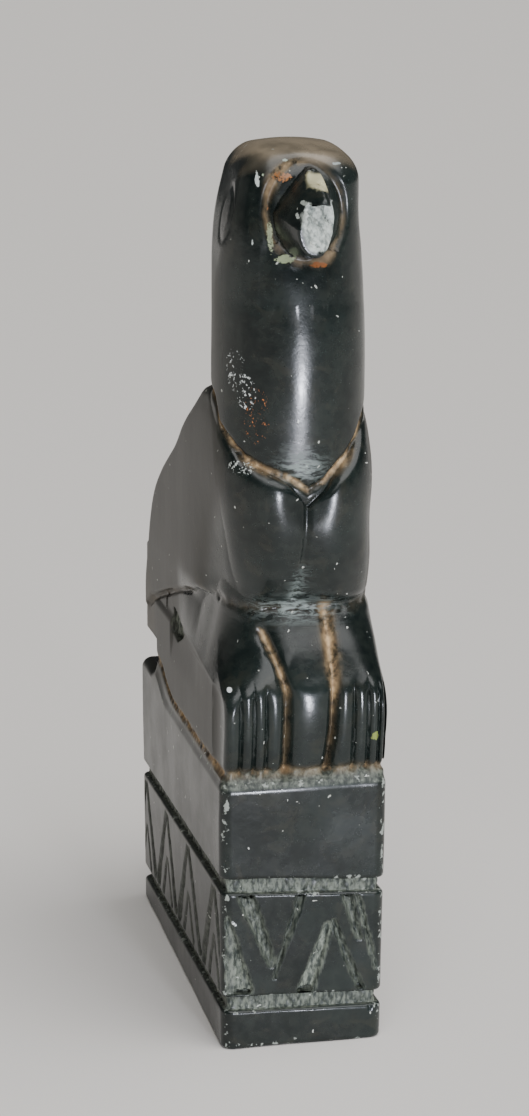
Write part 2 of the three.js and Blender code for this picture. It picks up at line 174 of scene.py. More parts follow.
# Lines on the front of the legs, left and right as the photo shows them: height and side place
LEFT_LEG_LINE = [(60.0, -3.8), (70.3, -3.7), (78.7, -3.6), (85.0, -5.4), (90.5, -7.6), (96.0, -9.6)]
RIGHT_LEG_LINE = [(60.0, 5.0), (69.7, 6.2), (78.6, 6.6), (86.3, 6.4), (92.9, 6.2), (96.0, 6.1)]
TOE_LINES = (-13.6, -10.8, -8.2, 10.9, 14.0, 16.3)
TOE_TOP = 79.5
TOE_DIP = 1.7

# How much lower the zigzag lies on the frieze's ends, and how pale each stroke's floor is on its front
END_SHIFT = 1.2
FRONT_PALENESS = (0.85, 0.6, 0.45, 1.0, 0.55, 0.6, 0.9)


# Shaping functions

def up(share):
    """Height of a place on the bird, from its share of the bird's height above the plinth."""
    return PLINTH_TOP + share * BIRD_HEIGHT


def ramp(start, end, value):
    """0 before start, 1 after end, with a smooth rise between."""
    t = np.clip((value - start) / (end - start), 0.0, 1.0)
    return t * t * (3.0 - 2.0 * t)


def bump(value, width):
    """A soft bell, 1 where value is 0."""
    return np.exp(-np.square(value / width))


def round_max(a, b, radius):
    """Keeps what is in both masses, with their edge rounded."""
    outside = np.hypot(np.maximum(a + radius, 0.0), np.maximum(b + radius, 0.0))
    return np.minimum(-radius, np.maximum(a, b)) + outside


def round_min(a, b, radius):
    """Joins two masses, with a fillet of that radius."""
    return -round_max(-a, -b, radius)


def rough(x, y, z, size, seed, waves=7):
    """Seamless irregular noise about -1 to 1, with lumps of about the given size."""
    rng = np.random.default_rng(seed)
    total = np.zeros_like(x)
    for _ in range(waves):
        direction = rng.normal(size=3)
        direction *= 2.0 * np.pi / size * rng.uniform(0.55, 1.5) / np.linalg.norm(direction)
        phase = rng.uniform(0.0, 2.0 * np.pi)
        total += np.sin(direction[0] * x + direction[1] * y + direction[2] * z + phase)
    return total / np.sqrt(waves)


def smooth_curve(knots, values, at):
    """A smooth curve through chosen points, each slope taken from its neighbours."""
    slopes = np.gradient(values, knots)
    at = np.clip(at, knots[0], knots[-1])
    i = np.clip(np.searchsorted(knots, at) - 1, 0, len(knots) - 2)
    span = knots[i + 1] - knots[i]
    t = (at - knots[i]) / span
    start = values[i] * (1 + 2 * t) * (1 - t) ** 2 + slopes[i] * span * t * (1 - t) ** 2
    end = values[i + 1] * t * t * (3 - 2 * t) + slopes[i + 1] * span * t * t * (t - 1)
    return start + end


def profile(stations, half):
    """A function of height that gives front, back, half width and both corner radii."""
    rows = np.array(stations, float)
    heights = up(rows[:, 0])
    scales = (BIRD_HALF, BIRD_HALF, half, BIRD_HALF, BIRD_HALF)
    dense = np.linspace(heights[0], heights[-1], 700)
    columns = [smooth_curve(heights, rows[:, i + 1] * s, dense) for i, s in enumerate(scales)]
    return lambda z: [np.interp(z, dense, column) for column in columns]


def slab(x, y, front, back, half, front_radius, back_radius):
    """Distance to a rounded rectangle seen from above."""
    middle = 0.5 * (front + back)
    radius = np.minimum(np.where(y < middle, front_radius, back_radius), half - 0.05)
    across = np.abs(x) - (half - radius)
    along = np.abs(y - middle) - (0.5 * (back - front) - radius)
    inside = np.minimum(np.maximum(across, along), 0.0)
    return inside + np.hypot(np.maximum(across, 0.0), np.maximum(along, 0.0)) - radius


def stroke(u, v, start, end, start_width, end_width):
    """Distance to the rim of a tapering straight cut, negative in it."""
    du, dv = end[0] - start[0], end[1] - start[1]
    t = np.clip(((u - start[0]) * du + (v - start[1]) * dv) / (du * du + dv * dv), 0.0, 1.0)
    away = np.hypot(u - start[0] - t * du, v - start[1] - t * dv)
    return away - 0.5 * (start_width + t * (end_width - start_width))


def cut(distance, depth, flank):
    """How deep a cut is, from the distance to its rim."""
    return depth * ramp(0.0, flank, -distance)


torso_profile = profile(TORSO_STATIONS, BODY_HALF)
neck_profile = profile(NECK_STATIONS, NECK_HALF)
leg_profile = profile(LEG_STATIONS, LEG_HALF)


# Masses of the stone

def collar_height(x, y):
    """Height of the breast's upper edge where it meets the neck."""
    angle = np.degrees(np.arctan2(x, -(y - NECK_AXIS_Y)))
    return np.interp(angle, COLLAR_ANGLES, COLLAR_HEIGHTS)


def breast_line(z):
    """Side place of the line down the middle of the breast."""
    return np.interp(z, (92, 108, 124), (-1.4, 0.0, 0.7))


def underside(y):
    """Height of the lower edge of the wings and breast."""
    return np.interp(y, UNDERSIDE_DEPTHS, UNDERSIDE_HEIGHTS)


def waist_line(y):
    """Height of the line between the breast and the thighs."""
    return np.interp(y, WAIST_DEPTHS, WAIST_HEIGHTS)


def foot_line(y):
    """Height of the line between the legs and the plinth's top, which climbs to the rear."""
    return PLINTH_TOP + 1.3 + 5.4 * ramp(8.0, 29.0, y)


def leg_ridge(y):
    """Height of the edge along each thigh, above which its side slopes in."""
    return np.interp(y, RIDGE_DEPTHS, RIDGE_HEIGHTS)


def waist_pinch(x, y, z):
    """How far the sides draw in towards the waist, in front of the wings; most on the bird's right."""
    return (2.4 - 2.2 * ramp(-4.0, 4.0, x)) * bump(z - WAIST, 7.0) * ramp(-15.0, -32.0, y)


def flank_draw(x, y, z):
    """How far the breast's sides stand in from the wings' plane: a long curve on the bird's right."""
    bird_right = 0.0036 * np.square(np.clip(-2.0 - y, 0.0, 33.0)) * (0.35 + 0.65 * ramp(126.0, 104.0, z))
    bird_right = bird_right * ramp(4.0, -4.0, x)
    bird_left = (0.6 + 0.7 * bump(z - 114.0, 8.0)) * ramp(-4.0, 4.0, x) * ramp(-10.0, -28.0, y)
    return bird_right + bird_left


def torso(x, y, z):
    """Breast and folded wings, with the valley down the middle of the breast."""
    front, back, half, front_radius, back_radius = torso_profile(z)
    half = half - waist_pinch(x, y, z) - flank_draw(x, y, z)
    mass = slab(x, y, front, back, half, front_radius, back_radius)
    below = underside(y) - z
    above = z - collar_height(x, y)
    mass = round_max(mass, 0.85 * below, 1.0 + 2.0 * ramp(-16.0, -30.0, y))
    mass = round_max(mass, 0.75 * above, 2.4)
    valley = ramp(-33.0, -42.0, y) * ramp(91.0, 97.0, z)
    side = x - breast_line(z)
    mass += valley * ((1.5 + 1.0 * ramp(112.0, 120.0, z)) * bump(side, 4.8) + 0.6 * bump(side, 0.75))
    return mass


def neck(x, y, z):
    """The column-like neck and the head, whose top is nearly flat."""
    middle = 1.3 * ramp(176.0, 194.0, z) - 0.25 * bump(z - 171.0, 10.0)
    mass = slab(x - middle, y, *neck_profile(z))
    crown = z - (TOTAL_HEIGHT - 0.010 * x * x - 0.0125 * np.square(y + 25.0))
    return round_max(mass, 0.96 * crown, 4.6)


def hollow_distance(y, z):
    """Distance to the rim of the hollow behind a leg, negative in it."""
    corners = HOLLOW + HOLLOW[:1]
    distance = np.full_like(y, -1e3)
    for (y0, z0), (y1, z1) in zip(corners[:-1], corners[1:]):
        length = np.hypot(y1 - y0, z1 - z0)
        distance = np.maximum(distance, ((y - y0) * (z1 - z0) - (z - z0) * (y1 - y0)) / length)
    return distance


def legs(x, y, z):
    """The leg block with its thighs, the hollow behind each leg and the tail that passes behind it."""
    front, back, half, front_radius, back_radius = leg_profile(z)
    drawn = 5.8 - 5.7 * ramp(-4.0, 4.0, x)
    slope = drawn * np.clip((z - leg_ridge(y)) / 13.0, 0.0, 1.0) * ramp(1.0, -24.0, y)
    slope = slope + 0.3 * waist_pinch(x, y, z) - 0.55 * ramp(2.0, 6.0, x)
    front_radius = front_radius + 5.0 * ramp(2.0, -2.0, x) * ramp(76.5, 84.0, z)
    thigh_end = np.interp(z, THIGH_HEIGHTS, THIGH_DEPTHS)
    behind = ramp(thigh_end - 0.6, thigh_end + 1.6, y) * ramp(79.5, 82.0, z)
    beneath = ramp(0.3, -0.5, z - np.interp(y, THIGH_FOOT_DEPTHS, THIGH_FOOT_HEIGHTS))
    beneath *= ramp(70.0, 79.0, z) * ramp(-30.0, -10.0, y) * ramp(13.0, 11.0, y)
    rear_step = np.maximum(behind, 0.7 * beneath) * ramp(38.0, 34.0, y) - 0.35
    mass = slab(x, y, front, back, half - slope - rear_step, front_radius, back_radius)
    mass = round_max(mass, 0.9 * (z - LEG_TOP), 1.0)
    floor = LEG_HALF - 1.2 - 2.4 * ramp(12.5, 1.0, y) - np.abs(x) + 0.3 * rough(x, y, z, 2.2, 41, 4)
    mass = round_max(mass, -np.maximum(hollow_distance(y, z), floor), 0.4)
    tail = np.maximum(np.abs(x) - TAIL_HALF_WIDTH, np.abs(y - TAIL_MIDDLE) - TAIL_HALF_LENGTH)
    tail = round_max(tail, np.maximum(TAIL_BOTTOM - z, z - TAIL_TOP), 0.9)
    return np.minimum(mass, tail)


def lean(x, y, amounts):
    """How much higher an edge of the plinth's bands runs here, since each leans forward and sideways."""
    return amounts[0] * -y / PLINTH_HALF_LENGTH + amounts[1] * -x / PLINTH_HALF_WIDTH


def plinth_side(x, y, z):
    """Distance to the plinth's upright faces, which taper slightly towards the foot."""
    taper = 0.3 * (z - 30.0) / 30.0
    length = PLINTH_HALF_LENGTH - 0.1
    return slab(x, y, -length, length, PLINTH_HALF_WIDTH + taper, PLINTH_CORNER, PLINTH_CORNER)


def plinth(x, y, z):
    """Base slab, frieze and cornice, with a sunk groove below and above the frieze."""
    side = plinth_side(x, y, z)
    lower = lean(x, y, LOWER_LEAN)
    upper = lean(x, y, UPPER_LEAN)
    base = round_max(side, np.maximum(-z, z - BASE_TOP - lower), SLAB_EDGE)
    frieze = round_max(side, np.maximum(FRIEZE_BOTTOM + lower - z, z - FRIEZE_TOP - upper), SLAB_EDGE)
    top = PLINTH_TOP + REAR_RISE * ramp(18.0, 42.0, y)
    cornice = round_max(side, z - top, CORNICE_EDGE)
    cornice = round_max(cornice, CORNICE_BOTTOM + upper - z, SLAB_EDGE)
    core = np.maximum(side + GROOVE_DEPTH + 0.18 * rough(x, y, z, 2.2, 17, 5), np.abs(z - 30.0) - 25.0)
    return np.minimum(np.minimum(base, frieze), np.minimum(cornice, core))


def split_plane(x, y, z):
    """Distance past the face where the beak's tip and its side to the bird's left split off."""
    return 0.70 * (x + 1.6 + 0.34 * (z - 179.6)) - 0.69 * (y + 52.0)


def chip_plane(x, y, z):
    """Distance past the small break above the split, beside the ridge that was left standing."""
    face = 0.18 * (x - 2.2) - 0.58 * (y + 46.0) + 0.79 * (z - 184.7)
    return np.minimum(face, 0.9 * (z - 184.3 + 0.25 * (x - 2.0)))


def beak(x, y, z):
    """The broken stump: a ridged oval that narrows forward, with its tip and one side split off."""
    half_width = np.interp(y, BEAK_DEPTHS, BEAK_HALF_WIDTH)
    half_height = np.interp(y, BEAK_DEPTHS, BEAK_HALF_HEIGHT)
    drop = np.interp(y, BEAK_DEPTHS, BEAK_DROP)
    v = (z - BEAK_MIDDLE[1] + drop) / half_height
    u = x - BEAK_MIDDLE[0] - 2.0 * np.maximum(v, 0.0)
    pinch = 1.0 - 0.5 * np.clip(v, 0.0, 1.0)
    mass = (np.hypot(u / (half_width * pinch), v) - 1.0) * 5.2
    split = split_plane(x, y, z) + 0.35 * rough(x, y, z, 4.5, 23, 5) + 0.14 * rough(x, y, z, 1.3, 24, 5)
    top = SPLIT_TOP + 0.5 * rough(x, y, z, 3.0, 26, 4) - z
    split = np.minimum(split, np.minimum(0.9 * top + 0.12 * (y + 46.0), 0.85 * (z - SPLIT_BOTTOM)))
    upper_chip = chip_plane(x, y, z) + 0.3 * rough(x, y, z, 2.4, 25, 5)
    mass = round_max(mass, np.maximum(BEAK_TIP - y, y - BEAK_ROOT), 0.6)
    return np.maximum(mass, np.maximum(split, upper_chip))


# Relief cut into the masses

def ring_distance(x, z):
    """Distance to the line round the beak, seen from the front."""
    u = (x - BEAK_MIDDLE[0] - 0.6) / RING_HALF[0]
    v = (z - BEAK_MIDDLE[1]) / RING_HALF[1]
    return (np.hypot(u, v) - 1.0) * 9.0


def eye_distance(y, z):
    """Distance to the eye's outline, seen from the side."""
    u = (y - EYE_MIDDLE[0]) / EYE_HALF[0]
    v = (z - EYE_MIDDLE[1]) / EYE_HALF[1]
    return (np.hypot(u, v) - 1.0) * 4.6


def front_strokes():
    """Chisel strokes on the frieze's front: two ends by side place and height, and their widths."""
    return [
        ((-16.6, 29.0), (-14.0, 12.6), 1.2, 6.4),
        ((-12.9, 34.4), (-7.0, 18.6), 4.4, 2.6),
        ((-0.4, 34.0), (-6.4, 15.2), 2.3, 1.3),
        ((0.2, 10.8), (5.6, 26.4), 4.4, 2.6),
        ((6.6, 27.4), (12.8, 11.9), 1.9, 2.3),
        ((9.6, 33.6), (12.2, 24.0), 3.2, 2.0),
        ((12.0, 33.0), (16.2, 16.5), 1.6, 1.4),
    ]


def side_strokes():
    """Chisel strokes on the long sides: two long cuts up to each apex, and a small pair below it."""
    strokes = []
    apexes = (43.0, 15.5, -11.0, -40.0)
    valleys = (56.0, 30.0, 3.0, -26.0, -52.0)
    for i, apex in enumerate(apexes):
        rear, front = valleys[i], valleys[i + 1]
        strokes.append(((rear - 2.2, 11.6), (apex + 1.2, 31.0), 5.2, 3.4))
        strokes.append(((apex - 1.2, 31.0), (front + 2.2, 12.0), 3.4, 4.6))
        strokes.append(((apex + 5.5, 10.8), (apex + 0.4, 20.5), 3.4, 2.0))
        strokes.append(((apex - 0.4, 20.5), (apex - 5.2, 11.0), 2.0, 3.0))
    return strokes


def frieze_height(x, y, z):
    """Height on the frieze, with the mean lean of its two edges taken out."""
    return z - (0.5 * lean(x, y, LOWER_LEAN) + 0.5 * lean(x, y, UPPER_LEAN))


def frieze_cut(x, y, z):
    """Distance to the nearest rim of the zigzag cuts on all four faces."""
    nearest = np.full_like(x, 9.0)
    wander = 0.14 * rough(x, y, z, 3.0, 51, 5)
    on_front = y < -46.0
    on_back = y > 46.0
    on_side = np.abs(x) > 15.5
    v = frieze_height(x, y, z)
    for start, end, width, end_width in front_strokes():
        front = stroke(x, v + END_SHIFT, start, end, width, end_width)
        back = stroke(-x, v + END_SHIFT, start, end, width, end_width)
        nearest = np.where(on_front, np.minimum(nearest, front), nearest)
        nearest = np.where(on_back, np.minimum(nearest, back), nearest)
    sides = np.full_like(x, 9.0)
    for start, end, width, end_width in side_strokes():
        sides = np.minimum(sides, stroke(y, v, start, end, width, end_width))
    nearest = np.where(on_side & ~on_front & ~on_back, sides, nearest)
    return nearest + wander


def stroke_paleness(x, y, z):
    """How pale the nearest stroke's floor is: each end stroke has its own, and the sides are dark."""
    nearest = np.full_like(x, 9.0)
    paleness = np.full_like(x, 0.3)
    v = frieze_height(x, y, z) + END_SHIFT
    for (start, end, width, end_width), pale in zip(front_strokes(), FRONT_PALENESS):
        rim = stroke(x * np.where(y < 0.0, 1.0, -1.0), v, start, end, width, end_width)
        closer = (rim < nearest) & (np.abs(y) > 45.5)
        paleness = np.where(closer, pale, paleness)
        nearest = np.where(closer, rim, nearest)
    return paleness


def frieze_window(x, y, z):
    """1 on the frieze's faces, fading to 0 at its edges and corners."""
    low = FRIEZE_BOTTOM + lean(x, y, LOWER_LEAN)
    high = FRIEZE_TOP + lean(x, y, UPPER_LEAN)
    corner = ramp(0.0, 1.0, np.maximum(np.abs(y) - 47.3, 15.2 - np.abs(x)) + 0.4)
    faces = np.maximum(corner, ramp(46.4, 45.2, np.abs(y)))
    return ramp(0.4, 0.9, z - low) * ramp(0.4, 0.9, high - z) * faces


def line_at(line, z):
    """Side place of a line on the legs at that height."""
    heights, places = zip(*line)
    return np.interp(z, heights, places)


CHIPS = [
    # middle of a lost flake on the plinth's edges and its radius
    ((-18.6, -49.6, 46.0), 1.5), ((-18.7, -49.2, 40.8), 1.2), ((-18.3, -49.8, 35.6), 1.7),
    ((-18.8, -49.3, 24.0), 1.3), ((-18.4, -50.0, 11.0), 1.6), ((-18.5, -49.4, 1.5), 1.9),
    ((-6.0, -49.8, 37.0), 1.3), ((9.0, -49.7, 35.2), 1.1), ((15.0, -49.9, 7.2), 1.5),
    ((18.7, -49.6, 50.0), 1.6), ((18.7, -49.3, 28.0), 1.4), ((2.0, -50.0, 8.2), 1.0),
    ((-19.1, -20.0, 36.0), 1.6), ((-19.2, 12.0, 7.2), 1.5), ((-19.0, 35.0, 34.6), 1.7),
    ((-18.6, 49.5, 60.5), 1.8), ((18.8, 30.0, 60.8), 1.5), ((18.9, -10.0, 8.0), 1.5),
]


def toe_dip(x, z):
    """Rounds each toe between its two lines, deepest at the lines."""
    left, right = line_at(LEFT_LEG_LINE, z), line_at(RIGHT_LEG_LINE, z)
    edges = [-17.6, *TOE_LINES[:3], left, right, *TOE_LINES[3:], 17.8]
    dip = np.zeros_like(x)
    for start, end in zip(edges[:-1], edges[1:]):
        across = (x - 0.5 * (start + end)) / (0.5 * (end - start))
        arc = 1.0 - np.sqrt(np.maximum(1.0 - 0.97 * across * across, 0.0))
        dip = np.where(np.abs(across) <= 1.0, TOE_DIP * arc, dip)
    return dip


def relief(x, y, z, low, high):
    """Everything cut in after the masses: adds to the field, so the surface sinks."""
    wander = 0.12 - 0.085 * ramp(11.0, 15.0, np.abs(x))
    sink = wander * rough(x, y, z, 19.0, 3) + 0.012 * rough(x, y, z, 7.0, 4)
    if high > 168.0:
        front = ramp(-30.0, -37.0, y)
        ring = ring_distance(x, z)
        sink += front * (0.85 * bump(ring, 1.0) + 0.55 * ramp(0.4, -0.8, ring))
        eye = eye_distance(y, z)
        sink += ramp(9.0, 12.5, np.abs(x)) * 0.15 * bump(eye, 0.75)
    if high > 116.0 and low < 150.0:
        away = z - collar_height(x, y)
        sink += 0.95 * bump(away + 0.1, 0.95) * (0.85 + 0.3 * rough(x, y, z, 3.0, 61, 4))
    if high > 68.0 and low < 100.0:
        wing_edge = z - underside(y) + 0.7
        sink += ramp(-13.0, -5.0, y) * ramp(45.0, 40.0, y) * 0.8 * bump(wing_edge, 0.65)
    if high > 70.0 and low < 145.0:
        sink += ramp(0.0, 6.0, y) * ramp(82.0, 90.0, z) * 0.8 * bump(x, 0.9)
    if high > 58.0 and low < 100.0:
        front = ramp(-36.0, -40.0, y)
        left = x - line_at(LEFT_LEG_LINE, z)
        right = x - line_at(RIGHT_LEG_LINE, z)
        right_end = front * ramp(97.0, 93.0, z) * ramp(59.5, 61.0, z)
        left_end = right_end * ramp(92.5, 89.0, z)
        left_cut = left_end * (1.4 * bump(left, 1.0) + 0.4 * bump(left, 2.6))
        sink += right_end * 1.5 * bump(right, 1.0) + left_cut
        sink += front * ramp(TOE_TOP + 2.5, TOE_TOP - 4.0, z) * ramp(60.0, 61.5, z) * toe_dip(x, z)
        waist = ramp(-20.0, -28.0, y) * 0.5 * bump(z - waist_line(y), 1.1)
        sink += waist * (1.0 + 0.5 * rough(x, y, z, 3.0, 72, 4))
        sink += 0.75 * bump(z - foot_line(y), 0.85) * (0.9 + 0.35 * rough(x, y, z, 2.4, 71, 4))
    return sink


def stone(x, y, z):
    """The whole carving's field, negative inside. A mass that the points' heights can't reach is skipped."""
    low, high = z.min(), z.max()
    field = np.full_like(x, 50.0)
    if high > 90.0:
        field = np.minimum(field, neck(x, y, z))
    if high > 66.0 and low < 148.0:
        field = np.minimum(field, torso(x, y, z))
    if low < 102.0:
        block = np.where(z < 55.0, 50.0, legs(x, y, z)) if high > 55.0 else field
        fillet = 0.5 + 4.0 * ramp(14.0, 31.0, y)
        flow = 0.2 + 4.0 * ramp(-3.0, -16.0, y) * ramp(-4.0, -11.0, x)
        field = round_min(field, block, flow)
        field = np.maximum(round_min(field, plinth(x, y, z), fillet), np.abs(x) - SIDE_LIMIT)
    sink = relief(x, y, z, low, high)
    if high > 164.0:
        stump = beak(x, y, z)
        sink *= np.where((z > 160.0) & (y < -42.5), 0.25, 1.0)
        field = np.minimum(field + sink, stump + 0.2 * sink)
    else:
        field += sink
    if low < 40.0:
        rim = frieze_cut(x, y, z)
        flank = 1.0 + 1.5 * ramp(15.0, 16.0, np.abs(x)) * ramp(46.6, 45.6, np.abs(y))
        depth = cut(rim, 1.4, flank) * frieze_window(x, y, z)
        field += depth * (1.0 + 0.16 * rough(x, y, z, 1.7, 52, 5))
    if low < 66.0:
        for (cx, cy, cz), radius in CHIPS:
            if low - 3.0 < cz < high + 3.0:
                away = np.sqrt(np.square(x - cx) + np.square(y - cy) + np.square(z - cz))
                field = np.maximum(field, radius + 0.25 * rough(x, y, z, 1.6, 81, 4) - away)
        field = np.maximum(field, -z)
    return field


def stone_at(points):
    """The field at many points, worked out a chunk at a time, from the lowest up."""
    values = np.empty(len(points))
    order = np.argsort(points[:, 2], kind="stable")
    for start in range(0, len(points), CHUNK):
        some = order[start:start + CHUNK]
        values[some] = stone(*points[some].T.copy())
    return values


# Meshing

def sampled_field():
    """Field values on a regular grid, worked out only near the surface. The slowest index is height."""
    low = np.array(GRID_LOW)
    high = np.array(GRID_HIGH)
    block_size = NODE_STEP * BLOCK_NODES
    blocks = np.ceil((high - low) / block_size).astype(int)
    bz, by, bx = np.meshgrid(*(np.arange(n) for n in blocks[::-1]), indexing="ij")
    corner = np.stack([bx, by, bz], -1).reshape(-1, 3) * block_size + low
    centre = corner + 0.5 * NODE_STEP * (BLOCK_NODES - 1)
    coarse = stone_at(centre)
    near = np.flatnonzero(np.abs(coarse) < BLOCK_REACH)
    steps = np.arange(BLOCK_NODES)
    oz, oy, ox = np.meshgrid(steps, steps, steps, indexing="ij")
    offsets = np.stack([ox, oy, oz], -1).reshape(-1, 3) * NODE_STEP
    fine = stone_at((corner[near][:, None, :] + offsets[None]).reshape(-1, 3)).astype(np.float32)
    filled = np.repeat(np.sign(coarse).astype(np.float32)[:, None] * 5.0, BLOCK_NODES ** 3, 1)
    filled[near] = fine.reshape(len(near), -1)
    shape = (blocks[2], blocks[1], blocks[0], BLOCK_NODES, BLOCK_NODES, BLOCK_NODES)
    grid = filled.reshape(shape).transpose(0, 3, 1, 4, 2, 5)
    return grid.reshape(blocks[2] * BLOCK_NODES, blocks[1] * BLOCK_NODES, blocks[0] * BLOCK_NODES), low


def surface_net(grid, low):
    """One vertex in each cell that the surface crosses, and a quad round each crossed edge."""
    inside = grid < 0.0
    count = np.zeros(tuple(n - 1 for n in grid.shape), np.uint8)
    corners = [(a, b, c) for a in (0, 1) for b in (0, 1) for c in (0, 1)]
    for a, b, c in corners:
        count += inside[a:grid.shape[0] - 1 + a, b:grid.shape[1] - 1 + b, c:grid.shape[2] - 1 + c]
    cells = np.argwhere((count > 0) & (count < 8))
    index = np.full(count.shape, -1, np.int32)
    index[tuple(cells.T)] = np.arange(len(cells))
    total = np.zeros((len(cells), 3))
    crossings = np.zeros(len(cells))
    for first in corners:
        for axis in range(3):
            if first[axis]:
                continue
            second = tuple(c + (k == axis) for k, c in enumerate(first))
            start = grid[tuple((cells + first).T)].astype(float)
            end = grid[tuple((cells + second).T)].astype(float)
            crossed = (start < 0) != (end < 0)
            t = np.where(crossed, start / np.where(crossed, start - end, 1.0), 0.0)
            place = np.array(first, float)[None] + t[:, None] * np.eye(3)[axis][None]
            total += place * crossed[:, None]
            crossings += crossed
    vertices = (cells + total / crossings[:, None])[:, ::-1] * NODE_STEP + low
    quads = []
    for axis in range(3):
        u, v = [k for k in range(3) if k != axis]
        a = inside.take(range(grid.shape[axis] - 1), axis)
        b = inside.take(range(1, grid.shape[axis]), axis)
        edges = np.argwhere(a != b)
        rising = a[tuple(edges.T)]
        ring = []
        for du, dv in ((0, 0), (1, 0), (1, 1), (0, 1)):
            cell = edges.copy()
            cell[:, u] -= du
            cell[:, v] -= dv
            ring.append(index[tuple(cell.T)])
        quad = np.stack(ring, 1)
        flip = rising if axis != 1 else ~rising
        quad[flip] = quad[flip][:, ::-1]
        quads.append(quad)
    return vertices, np.concatenate(quads)


def slope_at(points, reach=0.12):
    """Gradient of the field by central differences."""
    slopes = np.empty_like(points)
    for axis in range(3):
        step = np.zeros(3)
        step[axis] = reach
        slopes[:, axis] = (stone_at(points + step) - stone_at(points - step)) / (2.0 * reach)
    return slopes


def settle(points, rounds):
    """Moves points onto the surface along the field's gradient."""
    for _ in range(rounds):
        slope = slope_at(points)
        size = np.maximum(np.sum(slope * slope, 1), 0.25)
        move = -stone_at(points)[:, None] * slope / size[:, None]
        points = points + np.clip(move, -0.3, 0.3)
    return points


def new_mesh(name, vertices, faces):
    """A mesh from arrays of places and of faces that all have as many corners."""
    mesh = bpy.data.meshes.new(name)
    sides = faces.shape[1]
    mesh.vertices.add(len(vertices))
    mesh.vertices.foreach_set("co", vertices.astype(np.float32).ravel())
    mesh.loops.add(faces.size)
    mesh.loops.foreach_set("vertex_index", faces.astype(np.int32).ravel())
    mesh.polygons.add(len(faces))
    mesh.polygons.foreach_set("loop_start", np.arange(0, faces.size, sides, dtype=np.int32))
    mesh.update(calc_edges=True)
    mesh.validate()
    return mesh


def carved_mesh(name):
    """The meshed stone in metres, thinned to the triangle limit and with the field's own normals."""
    grid, low = sampled_field()
    vertices, quads = surface_net(grid, low)
    dense = bpy.data.objects.new(name + "_dense", new_mesh(name + "_dense", vertices, quads))
    bpy.context.scene.collection.objects.link(dense)
    thin = dense.modifiers.new("thin", "DECIMATE")
    thin.ratio = MAX_TRIANGLES / (2.0 * len(quads))
    thin.use_collapse_triangulate = True
    graph = bpy.context.evaluated_depsgraph_get()
    mesh = bpy.data.meshes.new_from_object(dense.evaluated_get(graph))
    mesh.name = name
    mesh.validate()
    bpy.data.objects.remove(dense)
    points = np.empty(len(mesh.vertices) * 3, np.float32)
    mesh.vertices.foreach_get("co", points)
    points = settle(points.reshape(-1, 3).astype(float), 2)
    normals = slope_at(points)
    normals /= np.maximum(np.linalg.norm(normals, axis=1, keepdims=True), 1e-6)
    return mesh, points, normals


# Marks on the surface, for the material

